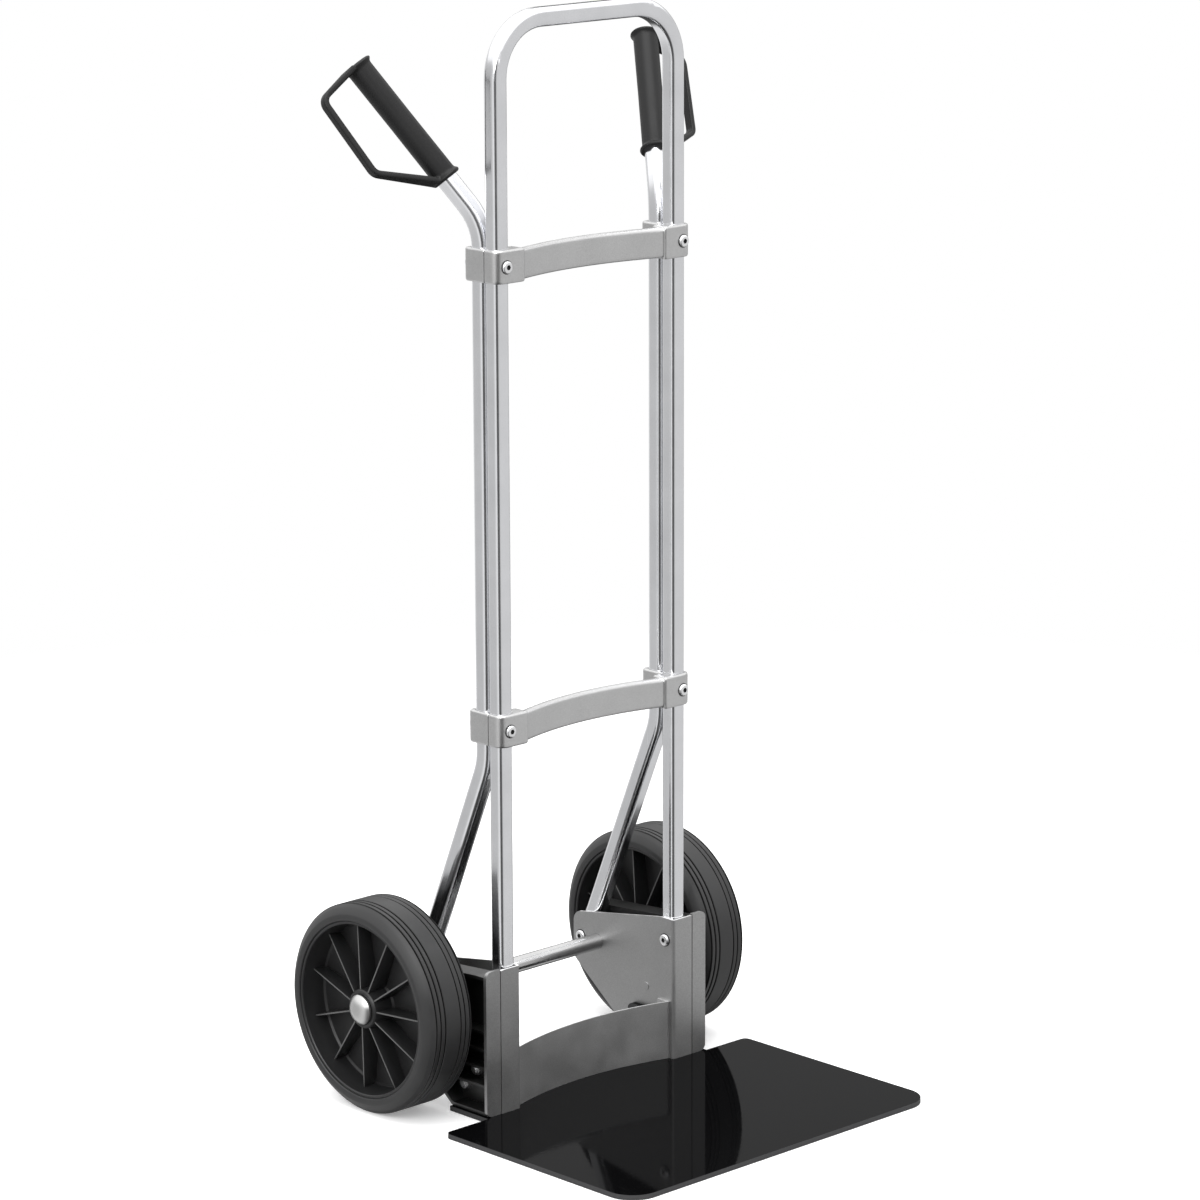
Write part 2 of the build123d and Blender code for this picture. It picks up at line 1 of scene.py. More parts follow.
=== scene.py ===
"""Looks, lights and camera for the hand truck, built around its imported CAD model. Sizes are in metres."""
import logging
import math
from contextlib import contextmanager
from dataclasses import dataclass, field
from enum import Enum
from typing import Callable, Iterator, Sequence

import bpy
from mathutils import Matrix, Vector


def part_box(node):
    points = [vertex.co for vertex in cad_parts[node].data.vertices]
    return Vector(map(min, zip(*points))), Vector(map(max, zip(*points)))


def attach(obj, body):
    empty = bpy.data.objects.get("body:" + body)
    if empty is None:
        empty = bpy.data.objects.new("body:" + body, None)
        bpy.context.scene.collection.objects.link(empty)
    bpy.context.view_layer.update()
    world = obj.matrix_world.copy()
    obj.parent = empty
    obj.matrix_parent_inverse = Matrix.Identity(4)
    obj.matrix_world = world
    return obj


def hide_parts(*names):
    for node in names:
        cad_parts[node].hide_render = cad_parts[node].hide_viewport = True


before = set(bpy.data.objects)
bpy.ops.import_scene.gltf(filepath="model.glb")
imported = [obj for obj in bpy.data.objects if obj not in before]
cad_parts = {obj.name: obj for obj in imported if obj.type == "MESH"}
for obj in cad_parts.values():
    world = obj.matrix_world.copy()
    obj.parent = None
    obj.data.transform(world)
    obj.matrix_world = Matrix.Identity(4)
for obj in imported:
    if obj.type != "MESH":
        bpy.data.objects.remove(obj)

LOG = logging.getLogger("hand_truck")
MM = 0.001
MERGE = 0.001 * MM
UP = Vector((0, 0, 1))
BACK = Vector((0, 1, 0))
Piece = bpy.types.Object
Material = bpy.types.Material
Socket = bpy.types.NodeSocket
Colour = tuple[float, float, float]
Profile = list[tuple[float, float]]
Stops = tuple[tuple[float, float], ...]


class Side(Enum):
    """Left and right of the truck, as seen from its toe plate."""

    LEFT = -1
    RIGHT = 1

    @property
    def word(self) -> str:
        """The ending that a paired node's name has."""
        return self.name.lower()


class Grain(Enum):
    """Which way the marks of a finish run."""

    EVEN = (1.0, 1.0, 1.0)
    UPRIGHT = (1.0, 1.0, 0.04)
    ACROSS = (0.04, 1.0, 1.0)
    FORE_AFT = (1.0, 0.05, 1.0)


# ---- work at the bench ----

def put_down() -> None:
    """Leave edit mode and deselect everything."""
    if bpy.context.object is not None and bpy.context.object.mode != "OBJECT":
        bpy.ops.object.mode_set(mode="OBJECT")
    bpy.ops.object.select_all(action="DESELECT")


def pick_up(*pieces: Piece) -> Piece:
    """Select these pieces only.

    Args:
        pieces: what to select; the first becomes active.

    Returns:
        The first piece.
    """
    put_down()
    for piece in pieces:
        piece.select_set(True)
    bpy.context.view_layer.objects.active = pieces[0]
    return pieces[0]


@contextmanager
def editing(piece: Piece, mode: str = "FACE") -> Iterator[None]:
    """Edit mode on one piece with nothing selected in it.

    Args:
        piece: the mesh to work on.
        mode: VERT, EDGE or FACE.

    Yields:
        Nothing; edit mode ends with the block.
    """
    pick_up(piece)
    bpy.ops.object.mode_set(mode="EDIT")
    bpy.ops.mesh.select_mode(type=mode)
    bpy.ops.mesh.select_all(action="DESELECT")
    yield
    put_down()


def select_faces(piece: Piece, wanted: Callable[[Vector, Vector], bool]) -> None:
    """Select faces by place and normal, from inside edit mode.

    Args:
        piece: the mesh in edit mode.
        wanted: says yes or no to a face's centre and normal.
    """
    bpy.ops.object.mode_set(mode="OBJECT")
    for polygon in piece.data.polygons:
        polygon.select = wanted(polygon.center, polygon.normal)
    bpy.ops.object.mode_set(mode="EDIT")


def select_points(piece: Piece, wanted: Callable[[Vector], bool]) -> None:
    """Select points by place, from inside edit mode.

    Args:
        piece: the mesh in edit mode.
        wanted: says yes or no to a point.
    """
    bpy.ops.object.mode_set(mode="OBJECT")
    for point in piece.data.vertices:
        point.select = wanted(point.co)
    bpy.ops.object.mode_set(mode="EDIT")


def wire(points: Sequence[Vector]) -> Piece:
    """A chain of edges, drawn by extruding one point from place to place.

    Args:
        points: the places in order.

    Returns:
        The new object, left in object mode.
    """
    put_down()
    bpy.ops.mesh.primitive_plane_add(size=MM, location=(0, 0, 0))
    piece = bpy.context.object
    bpy.ops.object.mode_set(mode="EDIT")
    bpy.ops.mesh.select_mode(type="VERT")
    bpy.ops.mesh.select_all(action="SELECT")
    bpy.ops.mesh.merge(type="CENTER")
    bpy.ops.transform.translate(value=Vector(points[0]))
    for start, end in zip(points, points[1:]):
        bpy.ops.mesh.extrude_vertices_move(
            TRANSFORM_OT_translate={"value": Vector(end) - Vector(start)})
    put_down()
    return piece


def rounded_run(corners: Sequence[Vector], radius: float, cuts: int = 8) -> list[Vector]:
    """Points of a run whose inner corners are bent to a radius.

    Args:
        corners: the run's corners in order.
        radius: radius of each bend.
        cuts: steps round each bend.

    Returns:
        The points in order.
    """
    points = [corners[0]]
    for before, corner, after in zip(corners, corners[1:], corners[2:]):
        come, leave = (before - corner).normalized(), (after - corner).normalized()
        half = come.angle(leave) / 2
        middle = corner + (come + leave).normalized() * (radius / math.sin(half))
        start = corner + come * (radius / math.tan(half)) - middle
        end = corner + leave * (radius / math.tan(half)) - middle
        points += [middle + start.slerp(end, step / cuts).normalized() * radius
                   for step in range(cuts + 1)]
    return points + [corners[-1]]


def lathe(profile: Profile, steps: int, closed: bool = False) -> Piece:
    """Turn a profile about the Z axis.

    Args:
        profile: (radius, height) pairs along the outline.
        steps: cuts round the turn.
        closed: whether the outline returns to its first point.

    Returns:
        The turned piece, centred on Z, with its doubles merged and its normals outwards.
    """
    points = [Vector((radius, 0.0, height)) for radius, height in profile]
    piece = wire(points + points[:1] if closed else points)
    with editing(piece, "VERT"):
        bpy.ops.mesh.select_all(action="SELECT")
        bpy.ops.mesh.remove_doubles(threshold=MERGE)
        bpy.ops.mesh.spin(steps=steps, angle=math.tau, center=(0, 0, 0), axis=(0, 0, 1))
        bpy.ops.mesh.select_all(action="SELECT")
        bpy.ops.mesh.remove_doubles(threshold=2 * MERGE)
        bpy.ops.mesh.normals_make_consistent(inside=False)
    return piece


def slab(low: Sequence[float], high: Sequence[float]) -> Piece:
    """A rough block, the start of a piece.

    Args:
        low: the corner with the least x, y and z.
        high: the corner with the greatest.

    Returns:
        The block.
    """
    put_down()
    middle = [(a + b) / 2 for a, b in zip(low, high)]
    edges = [b - a for a, b in zip(low, high)]
    bpy.ops.mesh.primitive_cube_add(size=1.0, location=middle, scale=edges)
    piece = bpy.context.object
    bpy.ops.object.transform_apply(location=True, rotation=True, scale=True)
    return piece


def apply_modifiers(piece: Piece) -> None:
    """Apply every modifier of a piece in order.

    Args:
        piece: the mesh.
    """
    pick_up(piece)
    for name in [modifier.name for modifier in piece.modifiers]:
        bpy.ops.object.modifier_apply(modifier=name)


def round_edges(piece: Piece, width: float, segments: int, angle: float = 30.0) -> None:
    """Round the sharp edges of a piece.

    Args:
        piece: the mesh.
        width: how far the rounding reaches from each edge.
        segments: cuts across the rounding.
        angle: edges that turn by more degrees than this are rounded.
    """
    bevel = piece.modifiers.new("rounding", "BEVEL")
    bevel.width, bevel.segments, bevel.limit_method = width, segments, "ANGLE"
    bevel.angle_limit = math.radians(angle)
    bevel.use_clamp_overlap = True
    apply_modifiers(piece)


def fuse(piece: Piece, voxel: float, passes: int) -> None:
    """Melt joined shapes into one moulded skin with soft inner corners.

    Args:
        piece: the joined mesh.
        voxel: size of the skin's cells.
        passes: how often the skin is relaxed.
    """
    remesh = piece.modifiers.new("skin", "REMESH")
    remesh.mode, remesh.voxel_size = "VOXEL", voxel
    relax = piece.modifiers.new("relax", "SMOOTH")
    relax.factor, relax.iterations = 0.5, passes
    apply_modifiers(piece)


def join(*pieces: Piece) -> Piece:
    """Join pieces into the first one.

    Args:
        pieces: what to join.

    Returns:
        The first piece, which now holds all of them.
    """
    first = pick_up(*pieces)
    bpy.ops.object.join()
    return first


def cut(piece: Piece, cutter: Piece) -> None:
    """Cut one shape out of a piece and throw the cutter away.

    Args:
        piece: the mesh that stays.
        cutter: the closed shape that is taken out of it.
    """
    boolean = piece.modifiers.new("cut", "BOOLEAN")
    boolean.operation, boolean.solver, boolean.object = "DIFFERENCE", "EXACT", cutter
    apply_modifiers(piece)
    bpy.data.objects.remove(cutter)


def place(piece: Piece, matrix: Matrix) -> Piece:
    """Move a piece and put its place into its mesh, so that its object stays at the origin.

    Args:
        piece: the mesh.
        matrix: where it goes; a mirroring one gets its normals put right.

    Returns:
        The piece.
    """
    pick_up(piece)
    piece.matrix_world = matrix @ piece.matrix_world
    bpy.ops.object.transform_apply(location=True, rotation=True, scale=True)
    if matrix.determinant() < 0:
        with editing(piece):
            bpy.ops.mesh.select_all(action="SELECT")
            bpy.ops.mesh.normals_make_consistent(inside=False)
    return piece


def copy_of(piece: Piece) -> Piece:
    """Copy a piece with its mesh.

    Args:
        piece: the mesh, which stays as it is.

    Returns:
        The copy.
    """
    pick_up(piece)
    bpy.ops.object.duplicate(linked=False)
    return bpy.context.object


def smooth(piece: Piece, angle: float) -> None:
    """Shade smooth up to an angle in degrees."""
    pick_up(piece)
    bpy.ops.object.shade_smooth_by_angle(angle=math.radians(angle))


def toward(origin: Vector, along: Vector, side: Vector) -> Matrix:
    """Matrix that lays local Z along one direction and local X near another.

    Args:
        origin: where the local origin goes.
        along: direction of local Z.
        side: direction that local X leans to.

    Returns:
        The placing matrix.
    """
    z = along.normalized()
    x = (side - z * side.dot(z)).normalized()
    turn = Matrix((x, z.cross(x), z)).transposed().to_4x4()
    return Matrix.Translation(origin) @ turn


# ---- finishes ----

class Nodes:
    """A node tree that is put together node by node."""

    def __init__(self, tree: bpy.types.NodeTree) -> None:
        """Take the tree to work in."""
        self.tree = tree

    def node(self, kind: str, **settings: object) -> bpy.types.Node:
        """Add a node and set its properties.

        Args:
            kind: the node's type.
            settings: properties by name.

        Returns:
            The node.
        """
        made = self.tree.nodes.new(kind)
        for name, value in settings.items():
            setattr(made, name, value)
        return made

    def link(self, source: Socket, target: Socket) -> None:
        """Join two sockets."""
        self.tree.links.new(source, target)


class Recipe(Nodes):
    """Node tree of one finish, around a Principled shader."""

    def __init__(self, name: str) -> None:
        """Start an empty material.

        Args:
            name: the material's name.
        """
        self.material = bpy.data.materials.new(name)
        self.material.use_nodes = True
        super().__init__(self.material.node_tree)
        self.shader = next(n for n in self.tree.nodes if n.type == "BSDF_PRINCIPLED")
        self.places = self.node("ShaderNodeTexCoord").outputs["Object"]

    def stretched(self, grain: Grain) -> Socket:
        """Object coordinates squeezed so that a pattern runs along the grain.

        Args:
            grain: which way the pattern runs.

        Returns:
            The squeezed coordinates.
        """
        mapping = self.node("ShaderNodeMapping")
        mapping.inputs["Scale"].default_value = grain.value
        self.link(self.places, mapping.inputs["Vector"])
        return mapping.outputs["Vector"]

    def noise(self, scale: float, detail: float = 3.0, grain: Grain = Grain.EVEN,
              rough: float = 0.55) -> Socket:
        """A noise pattern.

        Args:
            scale: cells per metre.
            detail: octaves.
            grain: which way it runs.
            rough: weight of the finer octaves.

        Returns:
            Its factor socket.
        """
        texture = self.node("ShaderNodeTexNoise")
        texture.inputs["Scale"].default_value = scale
        texture.inputs["Detail"].default_value = detail
        texture.inputs["Roughness"].default_value = rough
        source = self.places if grain is Grain.EVEN else self.stretched(grain)
        self.link(source, texture.inputs["Vector"])
        return texture.outputs["Fac"]

    def span(self, source: Socket, low: float, high: float, out_low: float,
             out_high: float) -> Socket:
        """Map a value range onto another, clamped.

        Args:
            source: the value.
            low: its lower end.
            high: its upper end.
            out_low: result at the lower end.
            out_high: result at the upper end.

        Returns:
            The mapped value.
        """
        ranged = self.node("ShaderNodeMapRange", clamp=True)
        ends = {"From Min": low, "From Max": high, "To Min": out_low, "To Max": out_high}
        for name, value in ends.items():
            ranged.inputs[name].default_value = value
        self.link(source, ranged.inputs["Value"])
        return ranged.outputs["Result"]

    def math(self, operation: str, first: Socket,
             second: Socket | float) -> Socket:
        """Combine two values.

        Args:
            operation: ADD, MULTIPLY, MAXIMUM and so on.
            first: a value socket.
            second: a value socket or a number.

        Returns:
            The result.
        """
        made = self.node("ShaderNodeMath", operation=operation)
        self.link(first, made.inputs[0])
        if isinstance(second, (int, float)):
            made.inputs[1].default_value = second
        else:
            self.link(second, made.inputs[1])
        return made.outputs[0]

    def blend(self, factor: Socket, low: Colour | Socket,
              high: Colour | Socket) -> Socket:
        """Mix two colours by a factor.

        Args:
            factor: 0 gives low, 1 gives high.
            low: a colour or a colour socket.
            high: a colour or a colour socket.

        Returns:
            The mixed colour.
        """
        mix = self.node("ShaderNodeMix", data_type="RGBA")
        self.link(factor, mix.inputs[0])
        for value, socket in ((low, mix.inputs[6]), (high, mix.inputs[7])):
            if isinstance(value, tuple):
                socket.default_value = (*value, 1.0)
            else:
                self.link(value, socket)
        return mix.outputs[2]

    def facing(self, way: Sequence[float]) -> Socket:
        """How much the surface faces one fixed direction.

        Args:
            way: the direction, of length one.

        Returns:
            Their dot product.
        """
        dot = self.node("ShaderNodeVectorMath", operation="DOT_PRODUCT")
        dot.inputs[1].default_value = way
        self.link(self.node("ShaderNodeNewGeometry").outputs["Normal"], dot.inputs[0])
        return dot.outputs["Value"]

    def relief(self, layers: Sequence[tuple[Socket, float]]) -> None:
        """Bump the surface.

        Args:
            layers: (height pattern, depth in metres) pairs, stacked in order.
        """
        normal = None
        for height, depth in layers:
            bump = self.node("ShaderNodeBump")
            bump.inputs["Strength"].default_value = 1.0
            bump.inputs["Distance"].default_value = depth
            self.link(height, bump.inputs["Height"])
            if normal is not None:
                self.link(normal, bump.inputs["Normal"])
            normal = bump.outputs["Normal"]
        self.link(normal, self.shader.inputs["Normal"])

    def surface(self, colour: Socket, roughness: Socket, metallic: float,
                specular: float = 0.5) -> Material:
        """Plug the patterns into the shader and set its constants.

        Args:
            colour: base colour.
            roughness: roughness.
            metallic: 1 for bare metal.
            specular: strength of the gloss.

        Returns:
            The finished material.
        """
        self.link(colour, self.shader.inputs["Base Color"])
        self.link(roughness, self.shader.inputs["Roughness"])
        self.shader.inputs["Metallic"].default_value = metallic
        self.shader.inputs["Specular IOR Level"].default_value = specular
        return self.material


@dataclass(frozen=True)
class MetalFinish:
    """Bare metal: cloudy tone, fine grain and light scratches.

    A painted top highlight lightens what faces up. A painted inner shade below 1 darkens what lies further
    back than inner_back, and a painted highlight lightens what looks back and down.
    """

    name: str
    colour: Colour
    roughness: float
    grain: Grain = Grain.EVEN
    cloud: float = 0.06
    speck: float = 0.05
    grain_scale: float = 900.0
    grain_depth: float = 0.00003
    scratches: float = 0.15
    painted_top_highlight: Colour | None = None
    inner_shade: float = 1.0
    inner_back: float = 0.0
    inner_fade: float = 1.2 * MM
    # direction and colour of the painted heel highlight
    heel_way: tuple[float, float, float] = (0.0, 0.62, -0.78)
    heel_highlight: Colour = (0.85, 0.85, 0.86)
    cloud_scale: float = 22.0
    line_scale: float = 700.0
    mark_scale: float = 260.0
    mark_band: tuple[float, float] = (0.64, 0.72)
    tone_range: tuple[float, float] = (0.8, 1.2)
    rough_range: tuple[float, float] = (0.9, 1.12)

    def shade_inside(self, recipe: Recipe, colour: Socket) -> Socket:
        """Paint shade on the inner surfaces and a highlight on the heels.

        Args:
            recipe: the tree to work in.
            colour: the colour so far.

        Returns:
            The shaded colour.
        """
        split = recipe.node("ShaderNodeSeparateXYZ")
        recipe.link(recipe.places, split.inputs[0])
        end = self.inner_back + self.inner_fade
        inner = recipe.span(split.outputs["Y"], self.inner_back, end, 0.0, 1.0)
        # painted shade: surfaces further back than inner_back are darkened
        colour = recipe.blend(inner, colour, tuple(c * self.inner_shade for c in self.colour))
        # painted highlight: faces that look back and down are lightened towards a pale grey
        heel = recipe.span(recipe.facing(self.heel_way), 0.75, 0.9, 0.0, 1.0)
        return recipe.blend(heel, colour, self.heel_highlight)

    def make(self) -> Material:
        """Mix tone, marks and grain.

        Returns:
            The material.
        """
        recipe = Recipe(self.name)
        cloud = recipe.noise(self.cloud_scale, 4.0)
        fine = recipe.noise(self.grain_scale, 2.0)
        lines = recipe.noise(self.line_scale, 2.0, self.grain)
        marks = recipe.noise(self.mark_scale, 3.0, self.grain, 0.7)
        marks = recipe.span(marks, *self.mark_band, 0.0, 1.0)
        tone = recipe.math("ADD", recipe.span(cloud, 0.3, 0.7, -self.cloud, self.cloud),
                           recipe.span(fine, 0.3, 0.7, -self.speck, self.speck))
        low, high = (tuple(min(1.0, c * part) for c in self.colour) for part in self.tone_range)
        colour = recipe.blend(recipe.span(tone, -0.2, 0.2, 0.0, 1.0), low, high)
        if self.inner_shade < 1.0:
            colour = self.shade_inside(recipe, colour)
        if self.painted_top_highlight is not None:
            # painted highlight: faces that point up are lightened towards the near-white top colour
            upward = recipe.span(recipe.facing(UP), 0.6, 0.9, 0.0, 1.0)
            colour = recipe.blend(upward, colour, self.painted_top_highlight)
        rough = recipe.span(cloud, 0.3, 0.7, *(self.roughness * part for part in self.rough_range))
        rough = recipe.math("ADD", rough, recipe.math("MULTIPLY", marks, self.scratches))
        recipe.relief([(fine, self.grain_depth), (lines, self.grain_depth * 0.6)])
        return recipe.surface(colour, rough, 1.0)


@dataclass(frozen=True)
class MouldedFinish:
    """Moulded rubber or plastic: matt skin, faint blooms and scuffs."""

    name: str
    colour: Colour
    roughness: float
    bloom: Colour
    bloom_amount: float = 0.35
    grain_scale: float = 1400.0
    grain_depth: float = 0.00004
    specular: float = 0.5
    cloud_scale: float = 30.0
    scuff_scale: float = 140.0
    dimple_scale: float = 320.0

    def make(self) -> Material:
        """Mix blooms, scuffs and grain.

        Returns:
            The material.
        """
        recipe = Recipe(self.name)
        cloud = recipe.noise(self.cloud_scale, 5.0)
        fine = recipe.noise(self.grain_scale, 2.0)
        scuff = recipe.span(recipe.noise(self.scuff_scale, 6.0, Grain.EVEN, 0.75), 0.6, 0.8, 0.0, 1.0)
        amount = recipe.math("MULTIPLY", recipe.span(cloud, 0.35, 0.75, 0.0, 1.0), self.bloom_amount)
        colour = recipe.blend(amount, self.colour, self.bloom)
        rough = recipe.math("ADD", recipe.span(cloud, 0.3, 0.7, self.roughness * 0.9, self.roughness * 1.1),
                            recipe.math("MULTIPLY", scuff, 0.08))
        recipe.relief([(fine, self.grain_depth), (recipe.noise(self.dimple_scale, 2.0), self.grain_depth)])
        return recipe.surface(colour, rough, 0.0, self.specular)


@dataclass(frozen=True)
class EnamelFinish:
    """Gloss stove enamel with a faint orange peel and hairline scuffs; its upright faces are lightened as a
    painted reflection.
    """

    name: str
    colour: Colour
    roughness: float = 0.05
    index: float = 1.07
    # colour of the painted reflection on upright faces
    edge: Colour = (0.045, 0.045, 0.046)
    peel_depth: float = 0.00001
    peel_scale: float = 160.0
    cloud_scale: float = 18.0
    hair_scale: float = 420.0
    hair_tone: float = 1.8

    def make(self) -> Material:
        """Mix gloss, hairlines and peel.

        Returns:
            The material.
        """
        recipe = Recipe(self.name)
        cloud = recipe.noise(self.cloud_scale, 4.0)
        hair = recipe.noise(self.hair_scale, 3.0, Grain.FORE_AFT, 0.7)
        hair = recipe.span(hair, 0.66, 0.74, 0.0, 1.0)
        rough = recipe.math("ADD", recipe.span(cloud, 0.3, 0.7, self.roughness * 0.7, self.roughness * 1.4),
                            recipe.math("MULTIPLY", hair, 0.08))
        lighter = tuple(c * self.hair_tone for c in self.colour)
        colour = recipe.blend(recipe.math("MULTIPLY", hair, 0.5), self.colour, lighter)
        # painted reflection: upright faces are lightened towards the edge colour
        flat = recipe.math("ABSOLUTE", recipe.facing(UP), 0.0)
        colour = recipe.blend(recipe.span(flat, 0.2, 0.7, 1.0, 0.0), colour, self.edge)
        recipe.relief([(recipe.noise(self.peel_scale, 2.0), self.peel_depth)])
        recipe.shader.inputs["IOR"].default_value = self.index
        return recipe.surface(colour, rough, 0.0)


class Finishes:
    """Every finish of the truck, made once."""

    def __init__(self) -> None:
        """Make the materials."""
        self.tube = MetalFinish("drawn_tube", (0.80, 0.805, 0.825), 0.18, Grain.UPRIGHT, 0.04, 0.02,
                                grain_depth=0.000006, scratches=0.08).make()
        self.cast = MetalFinish("blasted_casting", (0.56, 0.56, 0.56), 0.33, Grain.EVEN, 0.03, 0.12,
                                1100.0, 0.00004).make()
        # the satin and panel sheets carry a painted highlight on their up-facing faces
        self.sheet = MetalFinish("satin_sheet", (0.39, 0.39, 0.39), 0.45, Grain.EVEN, 0.03, 0.12,
                                 1100.0, 0.00004, painted_top_highlight=(0.95, 0.95, 0.95)).make()
        self.panel = MetalFinish("panel_sheet", (0.48, 0.48, 0.48), 0.45, Grain.EVEN, 0.03, 0.12,
                                 1100.0, 0.00004, painted_top_highlight=(0.97, 0.97, 0.97)).make()
        # the rough casting carries painted shade behind its front lip and a painted highlight on its heels
        self.bracket = MetalFinish("rough_casting", (0.38, 0.38, 0.38), 0.42, Grain.EVEN, 0.05, 0.12,
                                   900.0, 0.00006, inner_shade=0.30, inner_back=-11.0 * MM).make()
        self.zinc = MetalFinish("zinc_plate", (0.90, 0.91, 0.93), 0.30, Grain.EVEN, 0.05, 0.04).make()
        self.bar = MetalFinish("turned_bar", (0.52, 0.52, 0.52), 0.20, Grain.ACROSS, 0.04, 0.02,
                               grain_depth=0.00001, scratches=0.06).make()
        self.cap = MetalFinish("pressed_cap", (0.60, 0.60, 0.595), 0.32, Grain.EVEN, 0.04, 0.05).make()
        self.enamel = EnamelFinish("black_enamel", (0.0020, 0.0020, 0.0022)).make()
        self.rubber = MouldedFinish("tyre_rubber", (0.014, 0.014, 0.0145), 0.48,
                                    (0.026, 0.026, 0.026)).make()
        self.wheel = MouldedFinish("wheel_plastic", (0.011, 0.011, 0.0115), 0.42,
                                   (0.016, 0.016, 0.016)).make()
        self.groove = MouldedFinish("groove_shadow", (0.004, 0.004, 0.004), 0.80, (0.006, 0.006, 0.006),
                                    specular=0.1).make()
        # lighter grey for the webs' outward faces, a painted highlight
        self.web_edge_highlight = MouldedFinish("web_edge_highlight", (0.07, 0.07, 0.07), 0.40, (0.09, 0.09, 0.09)).make()
        self.grip = MouldedFinish("grip_plastic", (0.009, 0.009, 0.0093), 0.44, (0.013, 0.013, 0.013),
                                  specular=0.22).make()
        self.nylon = MouldedFinish("bush_nylon", (0.62, 0.61, 0.57), 0.45, (0.55, 0.53, 0.48)).make()
        # near black for bolt sockets and the ring round their seats, painted shade
        self.socket = MouldedFinish("socket_and_seat_shade", (0.006, 0.006, 0.006), 0.60, (0.01, 0.01, 0.01)).make()


def dress(piece: Piece, *materials: Material) -> None:
    """Give a piece its materials, the first on every face.

    Args:
        piece: a modelled piece or a CAD node's object.
        materials: the slots in order.
    """
    piece.data.materials.clear()
    for material in materials:
        piece.data.materials.append(material)
    if len(materials) == 1:
        for polygon in piece.data.polygons:
            polygon.material_index = 0


def hand_over(piece: Piece, name: str, body: str, slot: str, *nodes: str) -> Piece:
    """Name a finished piece, hang it on its body and hide the CAD nodes that it replaces.

    Args:
        piece: the finished mesh.
        name: its name.
        body: the CAD body it rides on.
        slot: not used.
        nodes: the CAD nodes that it replaces.

    Returns:
        The piece.
    """
    piece.name = name
    piece.data.name = name
    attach(piece, body)
    if nodes:
        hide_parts(*nodes)
    LOG.info("%s: %d faces on %s", name, len(piece.data.polygons), body)
    return piece


# ---- wheels ----

